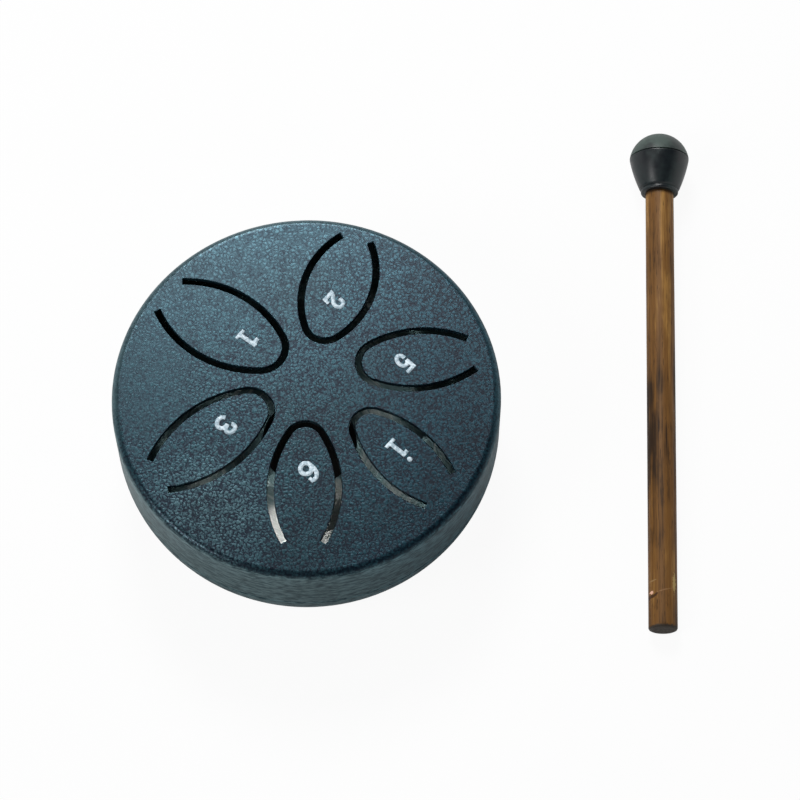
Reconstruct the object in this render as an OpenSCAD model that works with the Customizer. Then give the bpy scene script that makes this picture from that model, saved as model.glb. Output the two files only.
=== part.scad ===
// Six-note steel tongue drum with its mallet lying beside it.
// Millimetres, +Z up. The origin is on the table under the drum's axis,
// +X points to the mallet and +Y away from the player.

/* [Drum body] */
// Outside diameter of the drum
drum_d = 80; // [78:0.5:90]
// Height of the upper pan, from the weld seam to the playing face
upper_pan_h = 15; // [12:0.5:20]
// Depth of the lower pan, from the weld seam to its base
lower_pan_h = 12.5; // [10:0.5:16]
// Thickness of the steel sheet
sheet_t = 1.2; // [0.8:0.1:1.5]
// Outer radius of the bend between the playing face and the wall
rim_bend_r = 1.6; // [1.6:0.1:3]
// Outer radius of the lower pan's flank, below the seam
flank_r = 17.5; // [15:0.5:22]
// Outer radius of the bend between the flank and the base
base_bend_r = 6; // [4:0.5:8]
// Diameter of the sound hole in the base
sound_hole_d = 20; // [12:0.5:30]

/* [Weld seam] */
// Depth of the groove that the ground weld leaves around the wall
seam_groove = 0.25; // [0.1:0.05:0.5]
// Height of the lower pan's collar inside the upper pan
collar_h = 3; // [2:0.5:5]
// Depth over which the collar steps in from the lower pan's wall
joggle_h = 1.5; // [1:0.5:3]
// Radial clearance of the collar in the upper pan
collar_gap = 0.05; // [0.02:0.01:0.1]

/* [Tongue slots] */
// Width of the slots cut around the tongues
slot_w = 1.4; // [1:0.1:1.8]
// Hairline at a tongue's root, where its bending is carried by a hinge
root_gap = 0.03; // [0.02:0.01:0.05]

/* [Tongue 1] */
// Length from the root to the tip
tongue_1_l = 27; // [25:0.1:28.5]
// Greatest width
tongue_1_w = 14.6; // [12:0.1:15]
// Distance of the root from the drum's axis
tongue_1_root_r = 36.3; // [35:0.1:37.4]
// Direction of the root, seen from above
tongue_1_angle = 142.9; // [141:0.1:145]
// Turn of the tongue away from the drum's radius
tongue_1_skew_angle = 6.4; // [4:0.1:8]

/* [Tongue 2] */
// Length from the root to the tip
tongue_2_l = 23.6; // [22:0.1:26]
// Greatest width
tongue_2_w = 13; // [11:0.1:14]
// Distance of the root from the drum's axis
tongue_2_root_r = 36.6; // [35:0.1:37.4]
// Direction of the root, seen from above
tongue_2_angle = 73.8; // [72:0.1:75]
// Turn of the tongue away from the drum's radius
tongue_2_skew_angle = -2.7; // [-5:0.1:0]

/* [Tongue 3] */
// Length from the root to the tip
tongue_3_l = 27; // [25:0.1:28.5]
// Greatest width
tongue_3_w = 13.1; // [11:0.1:14]
// Distance of the root from the drum's axis
tongue_3_root_r = 34.9; // [34:0.1:36.5]
// Direction of the root, seen from above
tongue_3_angle = -148.5; // [-150:0.1:-147]
// Turn of the tongue away from the drum's radius
tongue_3_skew_angle = 7.1; // [5:0.1:9]

/* [Tongue 5] */
// Length from the root to the tip
tongue_5_l = 22.9; // [21:0.1:25]
// Greatest width
tongue_5_w = 11.4; // [10:0.1:13]
// Distance of the root from the drum's axis
tongue_5_root_r = 35.3; // [34:0.1:36.5]
// Direction of the root, seen from above
tongue_5_angle = 14.3; // [12:0.1:16]
// Turn of the tongue away from the drum's radius
tongue_5_skew_angle = -9.2; // [-11:0.1:-6]

/* [Tongue 6] */
// Length from the root to the tip
tongue_6_l = 25.3; // [24:0.1:27]
// Greatest width
tongue_6_w = 12.5; // [11:0.1:14]
// Distance of the root from the drum's axis
tongue_6_root_r = 32.6; // [32:0.1:36]
// Direction of the root, seen from above
tongue_6_angle = -90.4; // [-92:0.1:-88]
// Turn of the tongue away from the drum's radius
tongue_6_skew_angle = 0; // [-2:0.1:2]

/* [Tongue high 1] */
// Length from the root to the tip
tongue_high_1_l = 22.8; // [21:0.1:24.5]
// Greatest width
tongue_high_1_w = 11.3; // [10:0.1:12.5]
// Distance of the root from the drum's axis
tongue_high_1_root_r = 34.6; // [33:0.1:36]
// Direction of the root, seen from above
tongue_high_1_angle = -38.1; // [-40:0.1:-36]
// Turn of the tongue away from the drum's radius
tongue_high_1_skew_angle = -6.8; // [-9:0.1:-5]

/* [Rubber feet] */
// Height of a foot
foot_h = 2.5; // [1.5:0.1:5]
// Diameter of a foot where it is stuck to the base
foot_d = 9; // [6:0.5:12]
// Diameter of a foot where it stands on the table
foot_tread_d = 7.6; // [5:0.2:7.8]
// Width of the bevel around the tread
foot_bevel = 0.4; // [0.2:0.1:0.8]
// Radius of the circle that the three feet stand on
foot_circle_r = 25; // [20:0.5:26]

/* [Mallet] */
// Length from the centre of the head's dome to the stick's tail
mallet_reach = 106.4; // [90:0.2:150]
// Diameter of the wooden stick
stick_d = 6.1; // [5:0.1:7]
// Bevel around the stick's ends
stick_bevel = 0.4; // [0.2:0.1:0.8]
// Diameter of the rubber head
head_d = 13; // [11:0.1:16]
// Distance of the mould seam from the centre of the dome
head_seam_s = 1.1; // [0.5:0.1:2]
// Distance of the neck's end from the centre of the dome
neck_s = 7.4; // [6:0.1:10]
// Diameter of the neck
neck_d = 7.6; // [7.2:0.1:9]
// How far the cup bulges out from a straight cone
cup_bulge = 0.3; // [0.1:0.05:0.6]
// Depth of the socket that the stick is pushed into
socket_depth = 9; // [6:0.5:11]
// Depth of the fine grooves at the mould seam and behind the lip
head_groove = 0.2; // [0.1:0.05:0.3]
// Width of the lip around the neck's end
lip_w = 1.6; // [1:0.1:2.5]
// Bevel around the neck's end
neck_bevel = 0.3; // [0.1:0.05:0.5]
// Where the head's dome lies, to the right of the drum's axis
mallet_x = 75.9; // [65:0.1:120]
// Where the head's dome lies, beyond the drum's axis
mallet_y = 64.4; // [20:0.1:80]
// Direction from the head to the tail, seen from above
mallet_heading = 268.9; // [255:0.1:285]

/* [Hidden] */
$fn = 96;

// How far every cut runs past the faces that it cuts
overrun = 1;

// Heights above the table
base_z = foot_h;
seam_z = base_z + lower_pan_h;
face_z = seam_z + upper_pan_h;
drum_r = drum_d / 2;
collar_r = drum_r - sheet_t - collar_gap;

// Centres of the lower pan's flank and base bends, which meet tangentially
flank_turn = asin((lower_pan_h - base_bend_r) / (flank_r - base_bend_r));
flank_centre = [drum_r - flank_r, seam_z];
bend_centre = [
    flank_centre[0] + (flank_r - base_bend_r) * cos(flank_turn),
    base_z + base_bend_r
];

// Each tongue: length, width, root radius, direction and skew
TONGUE_1 = [tongue_1_l, tongue_1_w, tongue_1_root_r, tongue_1_angle, tongue_1_skew_angle];
TONGUE_2 = [tongue_2_l, tongue_2_w, tongue_2_root_r, tongue_2_angle, tongue_2_skew_angle];
TONGUE_3 = [tongue_3_l, tongue_3_w, tongue_3_root_r, tongue_3_angle, tongue_3_skew_angle];
TONGUE_5 = [tongue_5_l, tongue_5_w, tongue_5_root_r, tongue_5_angle, tongue_5_skew_angle];
TONGUE_6 = [tongue_6_l, tongue_6_w, tongue_6_root_r, tongue_6_angle, tongue_6_skew_angle];
TONGUE_HIGH_1 = [
    tongue_high_1_l, tongue_high_1_w, tongue_high_1_root_r,
    tongue_high_1_angle, tongue_high_1_skew_angle
];

// Form of each tongue: its nose radius as a share of half its width,
// and the place of its greatest width as a share of its length from the root
FORM_1_SHARES = [0.62, 0.481];
FORM_2_SHARES = [0.56, 0.491];
FORM_3_SHARES = [0.62, 0.487];
FORM_5_SHARES = [0.69, 0.493];
FORM_6_SHARES = [0.51, 0.462];
FORM_HIGH_1_SHARES = [0.55, 0.429];

SLOTS = [
    [TONGUE_1, FORM_1_SHARES], [TONGUE_2, FORM_2_SHARES], [TONGUE_3, FORM_3_SHARES],
    [TONGUE_5, FORM_5_SHARES], [TONGUE_6, FORM_6_SHARES], [TONGUE_HIGH_1, FORM_HIGH_1_SHARES]
];

// A tongue's nose is this much larger than the circle that would only touch its sides,
// so that the arcs cross
nose_lap = 0.02;

foot_angles = [90, 210, 330];

// The mallet lies on the rim of its cup and on the tail of its stick
head_r = head_d / 2;
stick_r = stick_d / 2;
mallet_tilt = atan((head_r - stick_r) / (mallet_reach - stick_bevel + head_seam_s));
head_centre_z = head_r * cos(mallet_tilt) - head_seam_s * sin(mallet_tilt);
stick_gap = 0.3;
socket_floor_s = neck_s - socket_depth;

// The cup's side is an arc from its rim at the mould seam to the neck
cup_rim = [head_r, -head_seam_s];
cup_neck = [neck_d / 2, neck_s];
cup_chord = norm(cup_neck - cup_rim);
cup_arc_r = cup_chord * cup_chord / (8 * cup_bulge) + cup_bulge / 2;
cup_inward = [cup_rim[1] - cup_neck[1], cup_neck[0] - cup_rim[0]] / cup_chord;
cup_centre = (cup_rim + cup_neck) / 2 + (cup_arc_r - cup_bulge) * cup_inward;

steel_blue = [0.2, 0.28, 0.33];
rubber_black = [0.09, 0.11, 0.11];
stained_wood = [0.45, 0.29, 0.15];

// Radius of the cup at a distance s from the centre of the dome
function cup_radius(s) =
    cup_centre[0] + sqrt(cup_arc_r * cup_arc_r - (s - cup_centre[1]) * (s - cup_centre[1]));

// Where two circles cross, on the left of the line between their centres when side is 1
function crossing(c1, r1, c2, r2, side) =
    let (
        line = c2 - c1,
        d = norm(line),
        along = (d * d + r1 * r1 - r2 * r2) / (2 * d),
        across = sqrt(r1 * r1 - along * along),
        unit = line / d
    )
    c1 + along * unit + side * across * [-unit[1], unit[0]];

// The tongue's outline: two broad arcs that close in on a round nose.
// These work in the tongue's own frame, with its root at the origin and its tip along +X.
function half_width(t) = t[0][1] / 2;
function nose_radius(t) = t[1][0] * half_width(t);
function nose_x(t) = t[0][0] - nose_radius(t);
function belly_x(t) = t[1][1] * t[0][0];
function nose_run(t) = nose_x(t) - belly_x(t);
function side_radius(t) =
    (pow(nose_run(t), 2) / (half_width(t) - nose_radius(t)) + nose_radius(t) + half_width(t)) / 2;
function side_offset(t) = side_radius(t) - half_width(t);

// Where the side arc ends and the nose begins, on an outline that is grown outwards
function nose_start_x(t, grow) =
    nose_x(t) + (nose_radius(t) + grow) * nose_run(t) / (side_radius(t) - nose_radius(t));

// Centre of the arc that forms one side of the tongue
function side_centre(t, side) = [belly_x(t), -side * side_offset(t)];

// Where the middle of a slot's arm meets the circle of the tongue's root
function slot_end(t, side) =
    crossing(
        side_centre(t, side), side_radius(t) + slot_w / 2,
        t[0][2] * [cos(t[0][4]), -sin(t[0][4])], t[0][2],
        side
    );

// A point in line with the square end of a slot's arm, r away from the centre of its arc
function end_point(t, side, r) =
    let (
        centre = side_centre(t, side),
        arm = slot_end(t, side) - centre
    )
    centre + r * arm / norm(arm);

module at_root(t) {
    rotate(t[0][3])
        translate([t[0][2], 0])
            rotate(180 + t[0][4])
                children();
}

// The whole leaf, before its root is cut off
module leaf(t, grow) {
    reach = 2 * side_radius(t);
    intersection() {
        translate([belly_x(t), -side_offset(t)])
            circle(side_radius(t) + grow);
        translate([belly_x(t), side_offset(t)])
            circle(side_radius(t) + grow);
        translate([nose_start_x(t, grow) - reach, -reach / 2])
            square(reach);
    }
    translate([nose_x(t), 0])
        circle(nose_radius(t) + grow + nose_lap);
}

// The tongue ends in a straight root between the inner corners of its slot's ends
module tongue_plan(t) {
    reach = 2 * side_radius(t);
    corner = end_point(t, 1, side_radius(t));
    chord = end_point(t, -1, side_radius(t)) - corner;
    intersection() {
        leaf(t, 0);
        translate(corner)
            rotate(atan2(chord[1], chord[0]))
                translate([-reach / 2, root_gap])
                    square(reach);
    }
}

// The opening in the playing face: the tongue and the slot around it, whose arms end square
module opening_plan(t) {
    reach = 2 * side_radius(t);
    outer_r = side_radius(t) + slot_w + overrun;
    intersection() {
        leaf(t, slot_w);
        polygon([
            end_point(t, 1, outer_r),
            end_point(t, 1, side_radius(t)),
            end_point(t, -1, side_radius(t)),
            end_point(t, -1, outer_r),
            [reach, -reach],
            [reach, reach]
        ]);
    }
}

module tongue(t) {
    color(steel_blue)
        translate([0, 0, face_z - sheet_t])
            linear_extrude(sheet_t)
                at_root(t)
                    tongue_plan(t);
}

// Half section of the upper pan, filled, set in from its outer skin
module upper_section(inset, below) {
    r = drum_r - inset;
    top = face_z - inset;
    bend = rim_bend_r - inset;
    translate([0, seam_z - below])
        square([r, top - bend - seam_z + below]);
    translate([0, seam_z - below])
        square([r - bend, top - seam_z + below]);
    translate([r - bend, top - bend])
        circle(bend);
}

// Half section of the lower pan, filled, set in from its outer skin
module lower_section(inset) {
    far = 2 * flank_r;
    translate([0, base_z + inset])
        square([bend_centre[0], lower_pan_h - inset]);
    translate(bend_centre)
        circle(base_bend_r - inset);
    intersection() {
        translate(flank_centre)
            circle(flank_r - inset);
        translate(flank_centre)
            polygon([[0, 0], [far * cos(flank_turn), -far * sin(flank_turn)], [far, 0]]);
    }
}

// The lower pan's hollow: wide below the step of its collar, narrower through the collar
module lower_hollow_section() {
    step_z = seam_z - joggle_h;
    intersection() {
        lower_section(sheet_t);
        translate([0, base_z])
            square([drum_r, step_z - base_z]);
    }
    translate([0, step_z - overrun])
        square([collar_r - sheet_t, seam_z + collar_h - step_z + 2 * overrun]);
}

module seam_groove_section() {
    translate([drum_r, seam_z])
        polygon([[-seam_groove, 0], [0, seam_groove], [seam_groove, 0], [0, -seam_groove]]);
}

module upper_shell() {
    color(steel_blue)
        difference() {
            rotate_extrude()
                difference() {
                    upper_section(0, 0);
                    upper_section(sheet_t, overrun);
                    seam_groove_section();
                }
            for (t = SLOTS)
                translate([0, 0, face_z - sheet_t - overrun])
                    linear_extrude(sheet_t + 2 * overrun)
                        at_root(t)
                            opening_plan(t);
        }
}

// The lower pan carries a collar that seats inside the upper one
module lower_shell() {
    color(steel_blue)
        difference() {
            rotate_extrude()
                difference() {
                    union() {
                        lower_section(0);
                        translate([0, seam_z - joggle_h])
                            square([collar_r, joggle_h + collar_h]);
                    }
                    lower_hollow_section();
                    seam_groove_section();
                }
            translate([0, 0, base_z - overrun])
                cylinder(h = sheet_t + 2 * overrun, d = sound_hole_d);
        }
}

// A stick-on rubber foot: a blunt cone with a bevelled tread
module foot(angle) {
    tread_r = foot_tread_d / 2;
    color(rubber_black)
        rotate(angle)
            translate([foot_circle_r, 0, 0])
                rotate_extrude()
                    polygon([
                        [0, 0],
                        [tread_r - foot_bevel, 0],
                        [tread_r, foot_bevel],
                        [foot_d / 2, foot_h],
                        [0, foot_h]
                    ]);
}

// The mallet's own frame: the centre of the dome at the origin, the tail along +Z
module in_mallet_place() {
    translate([mallet_x, mallet_y, head_centre_z])
        rotate(mallet_heading)
            rotate([0, 90 + mallet_tilt, 0])
                children();
}

module mallet_stick() {
    start = socket_floor_s + stick_gap;
    color(stained_wood)
        in_mallet_place()
            rotate_extrude()
                polygon([
                    [0, start],
                    [stick_r - stick_bevel, start],
                    [stick_r, start + stick_bevel],
                    [stick_r, mallet_reach - stick_bevel],
                    [stick_r - stick_bevel, mallet_reach],
                    [0, mallet_reach]
                ]);
}

// Half section of the rubber head: a ball's cap over a cup that narrows to the neck
module head_section() {
    intersection() {
        circle(head_r);
        translate([0, -head_r - overrun])
            square([head_r + overrun, head_r + overrun - head_seam_s]);
    }
    intersection() {
        translate(cup_centre)
            circle(cup_arc_r);
        translate([0, -head_seam_s])
            square([head_r, neck_s + head_seam_s]);
    }
}

// A fine groove around the head
module groove_section(r, s) {
    translate([r, s])
        polygon([[-head_groove, 0], [0, head_groove], [head_groove, 0], [0, -head_groove]]);
}

module mallet_head() {
    lip_s = neck_s - lip_w;
    color(rubber_black)
        in_mallet_place()
            rotate_extrude()
                difference() {
                    head_section();
                    groove_section(head_r, -head_seam_s);
                    groove_section(cup_radius(lip_s), lip_s);
                    translate(cup_neck)
                        polygon([[-neck_bevel, 0], [0, -neck_bevel], [neck_bevel, 0], [0, neck_bevel]]);
                    translate([0, socket_floor_s])
                        square([stick_r, socket_depth + overrun]);
                }
}

upper_shell();
lower_shell();
tongue(SLOTS[0]);  // tongue_1
tongue(SLOTS[1]);  // tongue_2
tongue(SLOTS[2]);  // tongue_3
tongue(SLOTS[3]);  // tongue_5
tongue(SLOTS[4]);  // tongue_6
tongue(SLOTS[5]);  // tongue_high_1
foot(foot_angles[0]);  // foot_1
foot(foot_angles[1]);  // foot_2
foot(foot_angles[2]);  // foot_3
mallet_stick();
mallet_head();
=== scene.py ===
"""The looks of a small six-note steel tongue drum and its rubber-headed mallet.

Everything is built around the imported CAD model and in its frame: metres, +Z up, the origin on
the table under the drum's axis, +X towards the mallet and +Y away from the player. Sizes whose
names end in _mm are millimetres, and angles whose names end in _deg are degrees.
"""
from __future__ import annotations

import logging
import math
from dataclasses import dataclass
from enum import Enum
from functools import reduce
from typing import Any, Iterable, Mapping, Sequence

import bmesh
import bpy
from mathutils import Matrix, Vector
from mathutils.bvhtree import BVHTree


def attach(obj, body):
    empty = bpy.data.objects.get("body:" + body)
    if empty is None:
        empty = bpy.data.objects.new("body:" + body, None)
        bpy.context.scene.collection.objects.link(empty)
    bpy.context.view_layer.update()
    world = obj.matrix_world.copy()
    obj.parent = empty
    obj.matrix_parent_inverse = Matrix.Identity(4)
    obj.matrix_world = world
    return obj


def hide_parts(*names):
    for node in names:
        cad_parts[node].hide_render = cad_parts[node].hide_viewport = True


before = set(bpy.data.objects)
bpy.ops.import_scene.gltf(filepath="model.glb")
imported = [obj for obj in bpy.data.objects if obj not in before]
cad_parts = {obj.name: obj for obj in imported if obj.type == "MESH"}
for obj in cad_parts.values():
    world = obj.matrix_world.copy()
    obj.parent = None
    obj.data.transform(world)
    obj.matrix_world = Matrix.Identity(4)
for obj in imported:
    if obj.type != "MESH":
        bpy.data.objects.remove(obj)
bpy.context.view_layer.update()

log = logging.getLogger("tongue_drum")

MM = 0.001

Colour = tuple[float, float, float, float]
Triple = tuple[float, float, float]
Point = tuple[float, float]
Socket = bpy.types.NodeSocket
Inputs = Mapping[str | int, Any]

WHITE: Colour = (1.0, 1.0, 1.0, 1.0)


class Slot(Enum):
    """The record's material slots."""

    STEEL = "coated_steel"
    PRINT = "print_white"
    FOOT = "foot_rubber"
    HEAD = "mallet_rubber"
    WOOD = "mallet_wood"


class Zone(Enum):
    """Which finish a face of a steel piece takes, as the index of its material."""

    OUTSIDE = 0
    CHAMBER = 1


def srgb(red: int, green: int, blue: int) -> Colour:
    """A colour as it looks on a screen, with levels of 0 to 255, made linear and opaque."""
    levels = [level / 255 for level in (red, green, blue)]
    linear = [v / 12.92 if v <= 0.04045 else ((v + 0.055) / 1.055) ** 2.4 for v in levels]
    return (*linear, 1.0)


@dataclass(frozen=True)
class Noise:
    """A noise pattern: blots size_mm apart, with finer layers, drawn out where stretch is small."""

    size_mm: float
    detail: float = 2.0
    roughness: float = 0.5
    seed: float = 0.0
    stretch: Triple = (1.0, 1.0, 1.0)


@dataclass(frozen=True)
class Step:
    """A smooth step from low to high as a value goes from start to end, which may lie below."""

    start: float
    end: float
    low: Any = 0.0
    high: Any = 1.0


def in_mm(start: float, end: float, low: float = 0.0, high: float = 1.0) -> Step:
    """A step along a length, with its start and end in millimetres."""
    return Step(start * MM, end * MM, low, high)


def over_noise(low: float = 0.0, high: float = 1.0) -> Step:
    """A step over the levels that a noise mostly takes."""
    return Step(0.3, 0.7, low, high)


class Net:
    """Writes a node tree: each call adds a node, feeds its inputs and gives back what it makes."""

    def __init__(self, tree: bpy.types.NodeTree) -> None:
        """Starts on a tree, which is emptied."""
        self.tree = tree
        tree.nodes.clear()

    def add(self, kind: str, inputs: Inputs | None = None, **settings: Any) -> bpy.types.Node:
        """Adds a node.

        Args:
            kind: the node's type name.
            inputs: a socket or a plain value for each input, by name or place.
            **settings: the node's own settings.

        Returns:
            The new node.
        """
        node = self.tree.nodes.new(kind)
        for name, value in settings.items():
            setattr(node, name, value)
        for key, value in (inputs or {}).items():
            if isinstance(value, bpy.types.NodeSocket):
                self.tree.links.new(value, node.inputs[key])
            else:
                node.inputs[key].default_value = value
        return node

    def get(self, kind: str, inputs: Inputs | None = None, **settings: Any) -> Socket:
        """The first output of a new node."""
        return self.add(kind, inputs, **settings).outputs[0]

    def math(self, operation: str, first: Any, second: Any = 0.0, clamp: bool = False) -> Socket:
        """The result of a Math node on two sockets or numbers."""
        return self.get("ShaderNodeMath", {0: first, 1: second}, operation=operation, use_clamp=clamp)

    def product(self, *factors: Any) -> Socket:
        """Sockets and numbers, multiplied in turn."""
        return reduce(lambda so_far, factor: self.math("MULTIPLY", so_far, factor), factors)

    def total(self, *parts: Any) -> Socket:
        """Sockets and numbers, added up in turn."""
        return reduce(lambda so_far, part: self.math("ADD", so_far, part), parts)

    def shared(self, *parts: tuple[Socket, float]) -> Socket:
        """Sockets added up, each times its share."""
        return self.total(*(self.product(part, share) for part, share in parts))

    def vector(self, operation: str, first: Any, second: Any = (0.0, 0.0, 0.0)) -> Socket:
        """The vector that a Vector Math node makes of two sockets or vectors."""
        return self.get("ShaderNodeVectorMath", {0: first, 1: second}, operation=operation)

    def scaled(self, vector: Socket, by: Any) -> Socket:
        """A vector times a number."""
        return self.get("ShaderNodeVectorMath", {0: vector, "Scale": by}, operation="SCALE")

    def centred(self, colour: Socket, by: Any) -> Socket:
        """A noise's colour as a push to all sides, times a length."""
        return self.scaled(self.vector("SUBTRACT", colour, (0.5, 0.5, 0.5)), by)

    def split(self, vector: Socket) -> tuple[Socket, Socket, Socket]:
        """The three parts of a vector."""
        parts = self.add("ShaderNodeSeparateXYZ", {0: vector}).outputs
        return parts[0], parts[1], parts[2]

    def join(self, x: Any, y: Any, z: Any = 0.0) -> Socket:
        """A vector of three sockets or numbers."""
        return self.get("ShaderNodeCombineXYZ", {0: x, 1: y, 2: z})

    def length(self, vector: Socket) -> Socket:
        """How long a vector is."""
        return self.add("ShaderNodeVectorMath", {0: vector}, operation="LENGTH").outputs["Value"]

    def distance(self, place: Socket, spot_mm: Triple) -> Socket:
        """How far a place lies from a spot."""
        return self.length(self.vector("SUBTRACT", place, tuple(v * MM for v in spot_mm)))

    def reach(self, x: Socket, y: Socket, half_mm: Point) -> Socket:
        """How far out in an oval a place lies, from 0 in its middle to 1 on its edge."""
        halves = (self.math("DIVIDE", value, half * MM) for value, half in zip((x, y), half_mm))
        return self.length(self.join(*halves))

    def posed(self, place: Socket, shift: Sequence[float], turn: Sequence[float]) -> Socket:
        """A point of the model, seen from a frame that is shifted and turned in it."""
        inputs = {"Vector": place, "Location": shift, "Rotation": turn}
        return self.get("ShaderNodeMapping", inputs, vector_type="TEXTURE")

    def ease(self, value: Any, step: Step) -> Socket:
        """What a step makes of a value."""
        inputs = {"Value": value, "From Min": step.start, "From Max": step.end,
                  "To Min": step.low, "To Max": step.high}
        return self.get("ShaderNodeMapRange", inputs, interpolation_type="SMOOTHSTEP")

    def noise(self, place: Socket, pattern: Noise, output: str | int = 0) -> Socket:
        """Lays a noise pattern over a piece.

        Args:
            place: the coordinates, in metres.
            pattern: the noise.
            output: which output is asked for: its level, or its "Color".

        Returns:
            The output.
        """
        if pattern.stretch != (1.0, 1.0, 1.0):
            place = self.vector("MULTIPLY", place, pattern.stretch)
        inputs = {"Vector": place, "W": pattern.seed, "Scale": 1 / (pattern.size_mm * MM),
                  "Detail": pattern.detail, "Roughness": pattern.roughness}
        return self.add("ShaderNodeTexNoise", inputs, noise_dimensions="4D").outputs[output]

    def tint(self, factor: Any, first: Any, second: Any) -> Socket:
        """Two colours mixed by a factor."""
        return self.add("ShaderNodeMix", {0: factor, 6: first, 7: second}, data_type="RGBA").outputs[2]

    def bump(self, height: Socket, distance: float, strength: float = 1.0) -> Socket:
        """The normal of a surface with a relief, whose height times the distance is in metres."""
        return self.get("ShaderNodeBump", {"Strength": strength, "Distance": distance, "Height": height})

    def shader(
        self, colour: Socket, gloss: Any, normal: Socket, metallic: float = 0.0, specular: float = 0.5
    ) -> Socket:
        """A Principled shader, whose plain values are set on its own sockets."""
        return self.get("ShaderNodeBsdfPrincipled", {
            "Base Color": colour, "Roughness": gloss, "Metallic": metallic,
            "Specular IOR Level": specular, "Normal": normal,
        })


@dataclass(frozen=True)
class Finish:
    """A surface finish, written as a procedural material."""

    name: str

    def material(self) -> bpy.types.Material:
        """The finish as a material, made the first time that it is asked for.

        Returns:
            The material.
        """
        made = bpy.data.materials.get(self.name)
        if made is None:
            made = bpy.data.materials.new(self.name)
            made.use_nodes = True
            net = Net(made.node_tree)
            surface = self.surface(net)
            net.add("ShaderNodeOutputMaterial", {"Surface": surface})
        return made

    def surface(self, net: Net) -> Socket:
        """Writes the finish's shader and returns its output."""
        raise NotImplementedError

    def place(self, net: Net) -> Socket:
        """The point on the piece, in metres in the model's frame."""
        return net.add("ShaderNodeTexCoord").outputs["Object"]


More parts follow.
